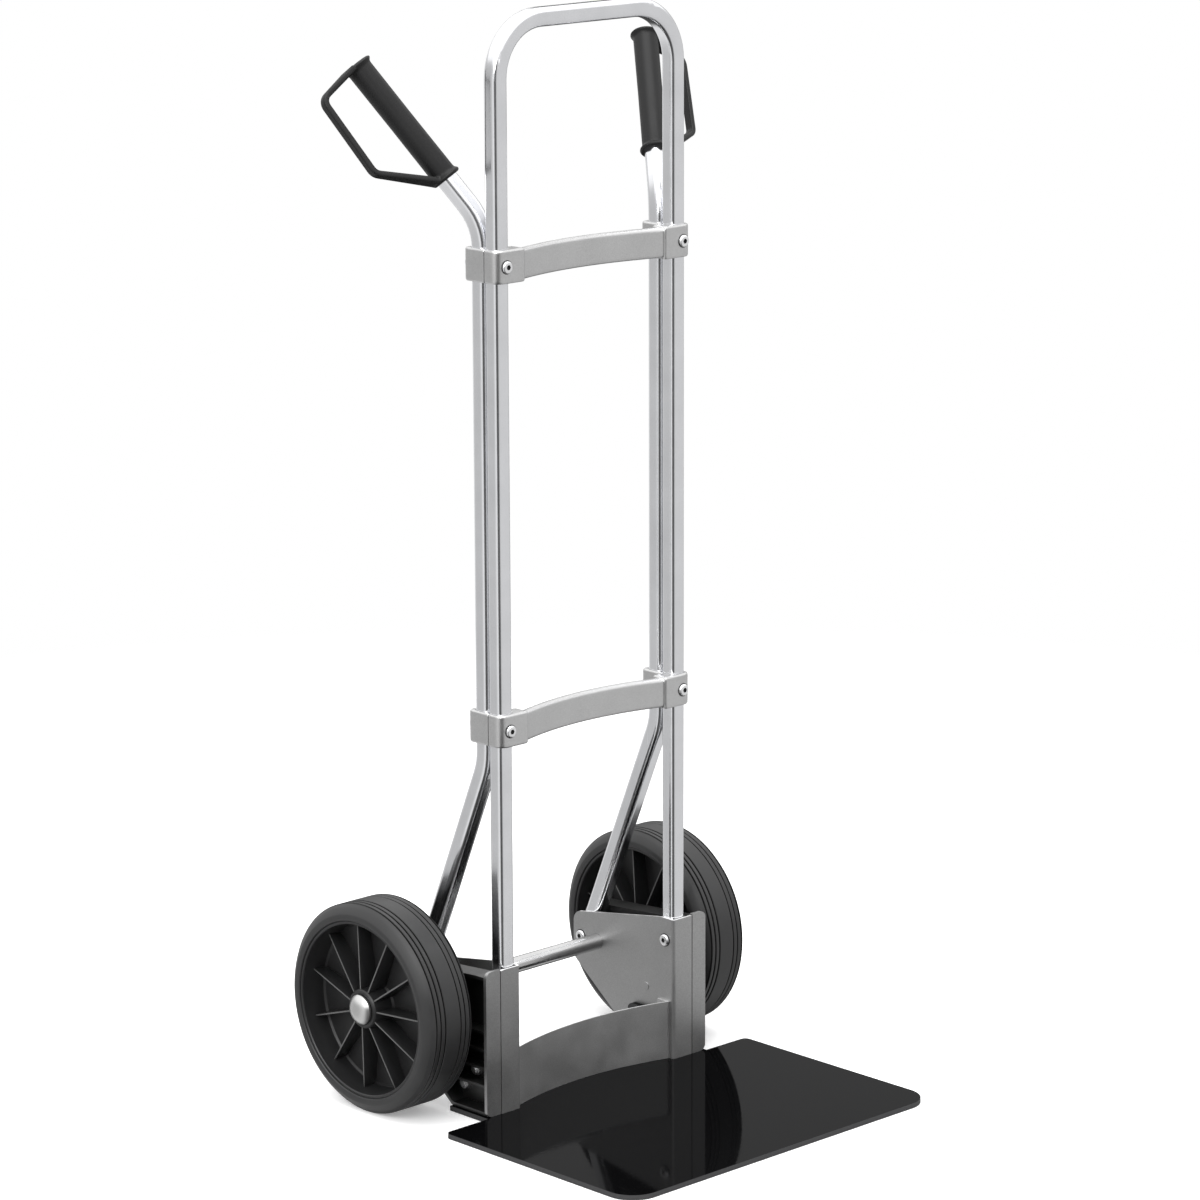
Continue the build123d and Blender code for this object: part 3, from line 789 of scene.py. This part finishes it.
@dataclass
class Wheel:
    """One solid wheel: a tyre on a moulded centre with radial webs."""

    side: Side
    finishes: Finishes
    radius: float = 127.0 * MM
    half_width: float = 37.5 * MM
    wall_step: float = 1.6 * MM
    rim_radius: float = 107.0 * MM
    groove_places: tuple[float, ...] = (11.5 * MM, 18.5 * MM, 25.5 * MM)
    groove_width: float = 1.7 * MM
    groove_depth: float = 2.6 * MM
    rim_inset: float = 2.0 * MM
    disc_half: float = 2.5 * MM
    barrel_radius: float = 103.0 * MM
    hub_radius: float = 23.0 * MM
    hub_out: float = 31.5 * MM
    hub_in: float = 40.5 * MM
    bore: float = 13.5 * MM
    web_count: int = 11
    web_thick: float = 2.3 * MM
    web_hub_edge: float = 29.5 * MM
    web_rim_edge: float = 20.5 * MM
    web_taper: float = 0.85
    first_web: float = 79.6
    axle: Vector = field(default_factory=Vector)

    def __post_init__(self) -> None:
        """Take the wheel's middle from its tyre in the frame."""
        low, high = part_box(f"tyre_{self.side.word}")
        self.axle = (low + high) / 2

    def seat(self) -> Matrix:
        """Lays local Z outwards along the axle at the wheel's middle, local X straight back."""
        return toward(self.axle, Vector((self.side.value, 0, 0)), BACK)

    def tyre_profile(self) -> Profile:
        """Outline of the tyre from one side wall over the grooved tread to the other.

        Returns:
            (radius, height) pairs.
        """
        w, r = self.half_width, self.radius
        shoulder = [(r - 20.0 * MM, w - self.wall_step), (r - 19.2 * MM, w - 0.5 * MM), (r - 17.5 * MM, w),
                    (r - 12.8 * MM, w), (r - 11.6 * MM, w - 0.5 * MM), (r - 4.6 * MM, w - 5.6 * MM),
                    (r - 3.6 * MM, w - 6.6 * MM), (r - 0.7 * MM, w - 10.2 * MM)]
        half, deep, corner = self.groove_width / 2, r - self.groove_depth, r - 0.8 * MM
        tread: Profile = []
        for place_in in self.groove_places:
            z = w - place_in
            tread += [(r - 0.35 * MM, z + half + 0.35 * MM), (corner, z + half), (deep, z + half * 0.7),
                      (deep, z - half * 0.7), (corner, z - half), (r, z - half - 0.45 * MM)]
        tread[0] = (r - 0.1 * MM, tread[0][1])
        top = shoulder + tread
        return top + [(radius, -z) for radius, z in reversed(top)]

    def make_tyre(self) -> Piece:
        """Tyre with grooves round its tread and bevelled shoulders.

        Returns:
            The piece, handed over.
        """
        bore, wall = self.rim_radius + 0.1 * MM, self.half_width - self.wall_step
        tyre = lathe([(bore, wall), *self.tyre_profile(), (bore, -wall)], 160, closed=True)
        smooth(tyre, 28.0)
        dress(tyre, self.finishes.rubber, self.finishes.groove)
        for polygon in tyre.data.polygons:
            below = self.radius - polygon.center.xy.length
            in_tread = abs(polygon.center.z) < self.half_width - self.groove_places[0] + self.groove_width
            polygon.material_index = 1 if in_tread and 0.6 * MM < below < self.groove_depth + MM else 0
        place(tyre, self.seat())
        word = self.side.word
        return hand_over(tyre, f"wheel_tyre_{word}", f"wheel_{word}", "tyre_rubber", f"tyre_{word}")

    def half_profile(self, out: float) -> Profile:
        """Outline of one face of the centre, from the barrel's rim in to the hub's bore.

        Args:
            out: how far the hub's end stands out from the wheel's middle.

        Returns:
            (radius, height) pairs.
        """
        lip, rim, barrel = self.half_width - self.rim_inset, self.rim_radius, self.barrel_radius
        disc, hub, bore = self.disc_half, self.hub_radius, self.bore
        return [(rim, lip - 0.8 * MM), (rim - 0.6 * MM, lip), (barrel + 1.0 * MM, lip),
                (barrel, lip - 1.0 * MM), (barrel - 1.6 * MM, disc + 6.0 * MM),
                (barrel - 2.6 * MM, disc + 2.4 * MM), (barrel - 5.0 * MM, disc + 0.4 * MM),
                (barrel - 9.0 * MM, disc), (hub + 8.0 * MM, disc), (hub + 4.2 * MM, disc + 0.8 * MM),
                (hub + 2.4 * MM, disc + 3.2 * MM), (hub + 0.6 * MM, out - 1.6 * MM), (hub - 0.8 * MM, out),
                (bore + 5.4 * MM, out), (bore + 5.0 * MM, out - 0.5 * MM), (bore, out - 0.5 * MM)]

    def centre_profile(self) -> Profile:
        """Closed outline of the moulded centre: its outer face, then its inner face back.

        Returns:
            (radius, height) pairs.
        """
        inner = [(radius, -height) for radius, height in self.half_profile(self.hub_in)]
        return self.half_profile(self.hub_out) + list(reversed(inner))

    def make_web(self) -> Piece:
        """One thin radial web on the outer face.

        Returns:
            The web, along local X.
        """
        start, end = self.hub_radius - 0.5 * MM, self.barrel_radius - 0.6 * MM
        web = slab((start, -self.web_thick / 2, self.disc_half - 0.5 * MM),
                   (end, self.web_thick / 2, self.web_hub_edge))
        with editing(web, "VERT"):
            select_points(web, lambda p: p.x > end - MM and p.z > self.disc_half)
            bpy.ops.transform.translate(value=(0, 0, self.web_rim_edge - self.web_hub_edge))
            select_points(web, lambda p: p.x < start + MM and p.z > self.disc_half)
            bpy.ops.transform.resize(value=(1, self.web_taper, 1), center_override=(start, 0, 0))
        with editing(web):
            select_faces(web, lambda c, n: n.z > 0.7)
            bpy.ops.mesh.subdivide(number_cuts=3)
        round_edges(web, 0.45 * MM, 2)
        return web

    def make_centre(self) -> Piece:
        """Barrel, disc and hub in one turned shape with webs on both faces, their outward faces lightened
        as a painted highlight.

        Returns:
            The piece, handed over.
        """
        centre = lathe(self.centre_profile(), 144, closed=True)
        round_edges(centre, 0.35 * MM, 2, 50.0)
        dress(centre, self.finishes.wheel, self.finishes.web_edge_highlight)
        web = self.make_web()
        dress(web, self.finishes.wheel, self.finishes.web_edge_highlight)
        # painted highlight: the webs' outward faces get the lighter web edge material
        for polygon in web.data.polygons:
            polygon.material_index = 1 if polygon.normal.z > 0.6 else 0
        webs = []
        for face in (1, -1):
            for step in range(self.web_count):
                angle = math.radians(self.first_web + step * 360.0 / self.web_count)
                turn = Matrix.Rotation(angle * self.side.value, 4, "Z")
                webs.append(place(copy_of(web), turn @ Matrix.Diagonal((1, 1, face, 1))))
        bpy.data.objects.remove(web)
        centre = join(centre, *webs)
        smooth(centre, 32.0)
        place(centre, self.seat())
        word = self.side.word
        return hand_over(centre, f"wheel_centre_{word}", f"wheel_{word}", "wheel_plastic",
                         f"rim_barrel_{word}", f"rim_hub_{word}", f"rim_webs_{word}")

    def build(self) -> None:
        """Make both pieces of the wheel."""
        self.make_tyre()
        self.make_centre()


# ---- grips ----

@dataclass
class Grip:
    """Moulded handle grip with end flanges and a knuckle guard in one skin."""

    side: Side
    finishes: Finishes
    knee: Vector = field(default_factory=lambda: Vector((141.0, 23.0, 1058.0)) * MM)
    lean: Vector = field(default_factory=lambda: Vector((0.385, 0.495, 0.779)))
    guard_lean: Vector = field(default_factory=lambda: Vector((0.90, -0.016, -0.435)))
    start: float = 66.9 * MM
    length: float = 160.6 * MM
    radius: float = 15.0 * MM
    flange: float = 18.3 * MM
    flange_half: float = 2.9 * MM
    guard_far: tuple[float, float] = (65.9 * MM, 153.4 * MM)
    guard_near: tuple[float, float] = (72.5 * MM, 52.9 * MM)
    guard_bend: float = 12.0 * MM
    guard_wide: float = 11.6 * MM
    guard_thick: float = 7.0 * MM
    guard_edge: float = 1.9 * MM
    root_spread: float = 1.7
    skin_cell: float = 0.65 * MM
    skin_passes: int = 14

    def sleeve_profile(self) -> Profile:
        """Outline of the sleeve from the middle of its domed end down to the lower end.

        Returns:
            (radius, height) pairs.
        """
        top, f, h, r = self.length, self.flange, self.flange_half, self.radius
        end = [(0.0, top + h), (f * 0.55, top + h * 0.98), (f * 0.82, top + h * 0.8),
               (f * 0.96, top + h * 0.45), (f, top), (f * 0.96, top - h * 0.5), (f * 0.9, top - h * 0.9),
               (r + 0.6 * MM, top - h * 1.2), (r, top - h * 1.9)]
        low = [(r, h * 1.9), (r + 0.5 * MM, h * 1.25), (f * 0.9, h * 0.9), (f * 0.97, h * 0.5), (f, 0.0),
               (f * 0.97, -h * 0.5), (f * 0.88, -h * 0.95), (r * 0.7, -h), (0.0, -h)]
        return end + [(r - 0.25 * MM, top * 0.5)] + low

    def make_guard(self) -> Piece:
        """Flat strap bent round from one flange to the other, its roots spread.

        Returns:
            The strap, in the sleeve's own coordinates.
        """
        bury = self.radius - 3.0 * MM
        corners = [Vector((x, -self.guard_wide / 2, z))
                   for x, z in ((bury, self.length), self.guard_far, self.guard_near, (bury, 0.0))]
        guard = wire(rounded_run(corners, self.guard_bend))
        with editing(guard, "VERT"):
            bpy.ops.mesh.select_all(action="SELECT")
            bpy.ops.mesh.extrude_region_move(TRANSFORM_OT_translate={"value": (0, self.guard_wide, 0)})
        solid = guard.modifiers.new("wall", "SOLIDIFY")
        solid.thickness, solid.offset, solid.use_even_offset = self.guard_thick, 0.0, True
        apply_modifiers(guard)
        spread = (1, self.root_spread, 1)
        with editing(guard, "VERT"):
            select_points(guard, lambda p: p.x < 1.5 * bury and p.z > self.length / 2)
            bpy.ops.transform.resize(value=spread, center_override=(bury, 0, self.length))
            select_points(guard, lambda p: p.x < 1.5 * bury and p.z < self.length / 2)
            bpy.ops.transform.resize(value=spread, center_override=(bury, 0, 0))
        with editing(guard):
            bpy.ops.mesh.select_all(action="SELECT")
            bpy.ops.mesh.normals_make_consistent(inside=False)
        round_edges(guard, self.guard_edge, 3, 50.0)
        return guard

    def build(self) -> None:
        """Make the grip and set it on the end of its tube."""
        sleeve = lathe(self.sleeve_profile(), 64)
        body = join(sleeve, self.make_guard())
        fuse(body, self.skin_cell, self.skin_passes)
        smooth(body, 60.0)
        lean = self.lean.normalized()
        seat = toward(self.knee + lean * self.start, lean, self.guard_lean)
        place(body, Matrix.Diagonal((self.side.value, 1, 1, 1)) @ seat)
        dress(body, self.finishes.grip)
        word = self.side.word
        hand_over(body, f"hand_grip_{word}", "frame", "grip_plastic", f"grip_{word}")


# ---- bolts ----

@dataclass
class Hardware:
    """Button-head socket bolts of the frame. Places are (y, z) pairs."""

    finishes: Finishes
    head: float = 7.25 * MM
    height: float = 3.2 * MM
    shank: float = 4.0 * MM
    # thin ring wider than the head at its seat, coloured as painted shadow
    seat_shadow: float = 0.85 * MM
    seat_shadow_thick: float = 0.4 * MM
    socket_across: float = 5.5 * MM
    socket_depth: float = 2.4 * MM
    cheek_seat: float = 126.9 * MM
    cheek_places: tuple[tuple[float, float], ...] = ((0.0, 155.0 * MM), (148.0 * MM, 128.0 * MM))
    lug_seat: float = 120.8 * MM
    lug_places: tuple[tuple[float, float], ...] = ((27.0 * MM, 52.0 * MM), (47.0 * MM, 30.0 * MM))

    def pattern(self, reach: float) -> Piece:
        """One bolt along +Z, its head below the seat at the origin.

        Args:
            reach: length of the shank.

        Returns:
            The bolt, dressed.
        """
        h, r, s, wide = self.height, self.head, self.shank, self.head + self.seat_shadow
        socket = self.socket_across / math.sqrt(3)
        profile = [(0.0, -h), (r * 0.48, -h), (r * 0.72, -h * 0.97), (r * 0.88, -h * 0.84),
                   (r * 0.97, -h * 0.56), (r, -h * 0.30), (r, -self.seat_shadow_thick), (wide, -self.seat_shadow_thick),
                   (wide, 0.0), (s, 0.0), (s, reach - 0.8 * MM), (s - 0.8 * MM, reach), (0.0, reach)]
        bolt = lathe(profile, 48)
        smooth(bolt, 35.0)
        put_down()
        bpy.ops.mesh.primitive_cylinder_add(vertices=6, radius=socket, depth=2 * self.socket_depth,
                                            location=(0, 0, -h))
        cutter = bpy.context.object
        with editing(cutter):
            select_faces(cutter, lambda c, n: n.z > 0.9)
            bpy.ops.mesh.inset(thickness=0.9 * MM)
            bpy.ops.transform.translate(value=(0, 0, 0.7 * MM))
        bpy.ops.object.transform_apply(location=True, rotation=True, scale=True)
        cut(bolt, cutter)
        dress(bolt, self.finishes.zinc, self.finishes.socket)
        slack = 0.05 * MM
        # painted shade: the hex socket and the thin ring round the seat get the near-black socket material
        for polygon in bolt.data.polygons:
            out, height = polygon.center.xy.length, polygon.center.z
            in_socket = out < socket + slack and slack - h < height < 0
            on_seat_shadow = out > r and height < 2 * slack
            polygon.material_index = 1 if in_socket or on_seat_shadow else 0
        return bolt

    def row(self, name: str, node: str, reach: float, places: Sequence[tuple[Vector, Vector]]) -> None:
        """A set of equal bolts.

        Args:
            name: name of the set.
            node: the CAD node that it stands for.
            reach: length of each shank.
            places: (head seat, direction of the shank) pairs.
        """
        pattern = self.pattern(reach)
        bolts = [place(copy_of(pattern), toward(seat, way, UP)) for seat, way in places]
        bpy.data.objects.remove(pattern)
        hand_over(join(*bolts), name, "frame", "zinc_steel", node)

    def build(self) -> None:
        """Make the bolts of the braces, the cheeks and the toe plate."""
        low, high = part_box("brace_bolts")
        xs, zs = (low.x + self.head, high.x - self.head), (low.z + self.head, high.z - self.head)
        seats = [(Vector((x, low.y + self.height, z)), BACK) for x in xs for z in zs]
        self.row("clamp_bolts", "brace_bolts", high.y - low.y - self.height, seats)
        for name, node, seat_x, places in (
                ("side_bolts", "cheek_bolts", self.cheek_seat, self.cheek_places),
                ("lug_bolts", "toe_plate_bolts", self.lug_seat, self.lug_places)):
            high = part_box(node)[1]
            seats = [(Vector((side.value * seat_x, y, z)), Vector((side.value, 0, 0)))
                     for side in Side for y, z in places]
            self.row(name, node, high.x - seat_x, seats)


# ---- carried-over pieces ----

@dataclass
class Castings:
    """Cross braces and clamp caps, blasted soft at their edges and blended from block to bar."""

    finishes: Finishes
    cell: float = 1.0 * MM
    passes: int = 7

    def build(self) -> None:
        """Soften each casting from a merged copy of its CAD node."""
        caps = [f"{level}_clamp_cap_{side.word}" for level in ("upper", "lower") for side in Side]
        for node in ("upper_brace", "lower_brace", *caps):
            casting = copy_of(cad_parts[node])
            with editing(casting, "VERT"):
                bpy.ops.mesh.select_all(action="SELECT")
                bpy.ops.mesh.remove_doubles(threshold=MERGE)
            fuse(casting, self.cell, self.passes)
            smooth(casting, 60.0)
            dress(casting, self.finishes.cast)
            hand_over(casting, f"soft_{node}", "frame", "cast_aluminium", node)


@dataclass
class FramePieces:
    """The CAD pieces that keep their shape and get their finish."""

    finishes: Finishes

    def build(self) -> None:
        """Dress every CAD node by the start of its name; the first start that fits counts."""
        f = self.finishes
        table = {"main_frame": f.tube, "rear_tube": f.tube, "upper_brace": f.cast, "lower_brace": f.cast,
                 "upper_clamp": f.cast, "lower_clamp": f.cast, "inner_cheek": f.sheet,
                 "lower_panel": f.panel, "outer_bracket": f.bracket, "toe_plate_nuts": f.zinc,
                 "toe_plate_bolts": f.zinc, "toe_plate": f.enamel, "brace": f.zinc, "cheek": f.zinc,
                 "spacer": f.zinc, "panel": f.zinc, "axle_washers": f.zinc, "axle_cap": f.cap,
                 "axle": f.bar, "tube_plugs": f.wheel, "wheel_bushes": f.nylon, "tyre": f.rubber,
                 "rim": f.wheel, "grip": f.grip}
        for name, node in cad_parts.items():
            material = next(m for start, m in table.items() if name.startswith(start))
            dress(node, material)
            LOG.info("%s: dressed in %s", name, material.name)


# ---- stage ----

@dataclass(frozen=True)
class Lamp:
    """A soft box: where it hangs, its width and height, and its watts."""

    name: str
    hangs: tuple[float, float, float]
    size: tuple[float, float]
    power: float


class Surround(Nodes):
    """The world: plain white to the camera, a soft studio to everything it lights."""

    def __init__(self) -> None:
        """Start an empty world in the scene."""
        world = bpy.data.worlds.new("studio")
        bpy.context.scene.world = world
        world.use_nodes = True
        super().__init__(world.node_tree)
        self.tree.nodes.clear()

    def ramp(self, source: Socket, stops: Stops) -> Socket:
        """Grey ramp over a value from -1 to 1.

        Args:
            source: the value.
            stops: (place, brightness) pairs, the places from 0 to 1.

        Returns:
            The brightness.
        """
        half = self.node("ShaderNodeMath", operation="MULTIPLY_ADD")
        half.inputs[1].default_value = half.inputs[2].default_value = 0.5
        self.link(source, half.inputs[0])
        made = self.node("ShaderNodeValToRGB")
        self.link(half.outputs[0], made.inputs[0])
        made.color_ramp.interpolation = "EASE"
        elements = made.color_ramp.elements
        while len(elements) < len(stops):
            elements.new(0.5)
        for element, (position, value) in zip(elements, stops):
            element.position = position
            element.color = (value, value, value, 1.0)
        return made.outputs["Color"]

    def build(self, across: Sequence[float], side_band: Stops, height_band: Stops,
              overhead: float) -> None:
        """Wire the surround up.

        Args:
            across: level direction along which the side band runs.
            side_band: brightness of the lower surround, by direction.
            height_band: share of the overhead light, by height.
            overhead: brightness overhead.
        """
        way = self.node("ShaderNodeTexCoord").outputs["Generated"]
        along = self.node("ShaderNodeVectorMath", operation="DOT_PRODUCT")
        along.inputs[1].default_value = across
        self.link(way, along.inputs[0])
        split = self.node("ShaderNodeSeparateXYZ")
        self.link(way, split.inputs[0])
        mix = self.node("ShaderNodeMix", data_type="RGBA")
        self.link(self.ramp(split.outputs["Z"], height_band), mix.inputs[0])
        self.link(self.ramp(along.outputs["Value"], side_band), mix.inputs[6])
        mix.inputs[7].default_value = (overhead, overhead, overhead, 1.0)
        light = self.node("ShaderNodeBackground")
        self.link(mix.outputs[2], light.inputs["Color"])
        white = self.node("ShaderNodeBackground")
        white.inputs["Color"].default_value = (1.0, 1.0, 1.0, 1.0)
        choose = self.node("ShaderNodeMixShader")
        self.link(self.node("ShaderNodeLightPath").outputs["Is Camera Ray"], choose.inputs[0])
        self.link(light.outputs[0], choose.inputs[1])
        self.link(white.outputs[0], choose.inputs[2])
        self.link(choose.outputs[0], self.node("ShaderNodeOutputWorld").inputs["Surface"])


@dataclass
class Stage:
    """Pale floor, soft studio light and the camera. Angles are in degrees."""

    floor_radius: float = 2.6
    floor_drop: float = 0.4 * MM
    floor_fade: tuple[float, float] = (0.8, 2.4)
    floor_colour: Colour = (0.92, 0.92, 0.92)
    floor_mottle: float = 0.985
    floor_glow: float = 0.25
    across: tuple[float, float, float] = (-0.7071, 0.7071, 0.0)
    side_band: Stops = ((0.0, 0.70), (0.24, 0.68), (0.36, 0.08), (0.62, 0.05), (0.71, 0.92), (0.80, 0.88),
                        (1.0, 0.57))
    height_band: Stops = ((0.0, 0.0), (0.57, 0.03), (0.62, 0.15), (0.655, 0.75), (0.76, 1.0), (1.0, 1.0))
    overhead: float = 1.5
    lamps: tuple[Lamp, ...] = (Lamp("overhead", (-0.4, -0.4, 3.6), (2.6, 2.6), 70.0),
                               Lamp("left_front", (-3.4, -1.6, 2.6), (1.8, 1.8), 60.0))
    lamp_aim: tuple[float, float, float] = (0.0, 0.0, 0.55)
    heading: float = 43.85
    pitch: float = 13.03
    roll: float = -0.21
    eye: tuple[float, float, float] = (-3.676, -3.847, 1.831)
    lens: float = 139.4
    sensor: float = 36.0
    clip: tuple[float, float] = (0.1, 60.0)

    def floor_material(self) -> Material:
        """Mottled white that glows a little and fades out towards the rim.

        Returns:
            The material.
        """
        recipe = Recipe("pale_floor")
        tone = recipe.span(recipe.noise(3.0, 2.0), 0.3, 0.7, 0.0, 1.0)
        dim = tuple(c * self.floor_mottle for c in self.floor_colour)
        colour = recipe.blend(tone, dim, self.floor_colour)
        recipe.surface(colour, recipe.span(tone, 0.0, 1.0, 0.85, 0.9), 0.0, 0.0)
        recipe.shader.inputs["Emission Color"].default_value = (1.0, 1.0, 1.0, 1.0)
        recipe.shader.inputs["Emission Strength"].default_value = self.floor_glow
        distance = recipe.node("ShaderNodeVectorMath", operation="LENGTH")
        recipe.link(recipe.places, distance.inputs[0])
        fade = recipe.span(distance.outputs["Value"], *self.floor_fade, 0.0, 1.0)
        mix = recipe.node("ShaderNodeMixShader")
        recipe.link(fade, mix.inputs[0])
        recipe.link(recipe.shader.outputs[0], mix.inputs[1])
        recipe.link(recipe.node("ShaderNodeBsdfTransparent").outputs[0], mix.inputs[2])
        output = next(n for n in recipe.tree.nodes if n.type == "OUTPUT_MATERIAL")
        recipe.link(mix.outputs[0], output.inputs["Surface"])
        return recipe.material

    def make_floor(self) -> None:
        """A round floor just under the truck, which reflections don't show."""
        put_down()
        bpy.ops.mesh.primitive_circle_add(vertices=96, radius=self.floor_radius, fill_type="NGON",
                                          location=(0, 0, -self.floor_drop))
        floor = bpy.context.object
        floor.name = "floor"
        floor.data.materials.append(self.floor_material())
        floor.visible_glossy = False

    def make_light(self, lamp: Lamp) -> None:
        """Hang a lamp and aim it at the truck.

        Args:
            lamp: the lamp.
        """
        data = bpy.data.lights.new(lamp.name, "AREA")
        data.shape, data.energy = "RECTANGLE", lamp.power
        data.size, data.size_y = lamp.size
        light = bpy.data.objects.new(lamp.name, data)
        bpy.context.scene.collection.objects.link(light)
        light.location = lamp.hangs
        aim = Vector(self.lamp_aim) - Vector(lamp.hangs)
        light.rotation_euler = aim.to_track_quat("-Z", "Y").to_euler()

    def make_camera(self) -> None:
        """A long lens from the front left, looking slightly down."""
        data = bpy.data.cameras.new("camera")
        data.lens, data.sensor_width = self.lens, self.sensor
        data.clip_start, data.clip_end = self.clip
        camera = bpy.data.objects.new("camera", data)
        bpy.context.scene.collection.objects.link(camera)
        az, down = math.radians(self.heading), math.radians(self.pitch)
        look = Vector((math.sin(az) * math.cos(down), math.cos(az) * math.cos(down), -math.sin(down)))
        turn = look.to_track_quat("-Z", "Y").to_matrix().to_4x4()
        camera.matrix_world = (Matrix.Translation(self.eye) @ turn
                               @ Matrix.Rotation(math.radians(self.roll), 4, "Z"))
        bpy.context.scene.camera = camera

    def build(self) -> None:
        """Set the stage."""
        self.make_floor()
        Surround().build(self.across, self.side_band, self.height_band, self.overhead)
        for lamp in self.lamps:
            self.make_light(lamp)
        self.make_camera()
        scene = bpy.context.scene
        scene.view_settings.view_transform = "Standard"
        scene.view_settings.look = "None"


def main() -> None:
    """Build the truck's looks piece by piece."""
    logging.basicConfig(level=logging.INFO, format="%(message)s")
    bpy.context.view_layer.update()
    finishes = Finishes()
    FramePieces(finishes).build()
    for side in Side:
        Wheel(side, finishes).build()
        Grip(side, finishes).build()
    Castings(finishes).build()
    Hardware(finishes).build()
    Stage().build()


if __name__ == "__main__":
    main()
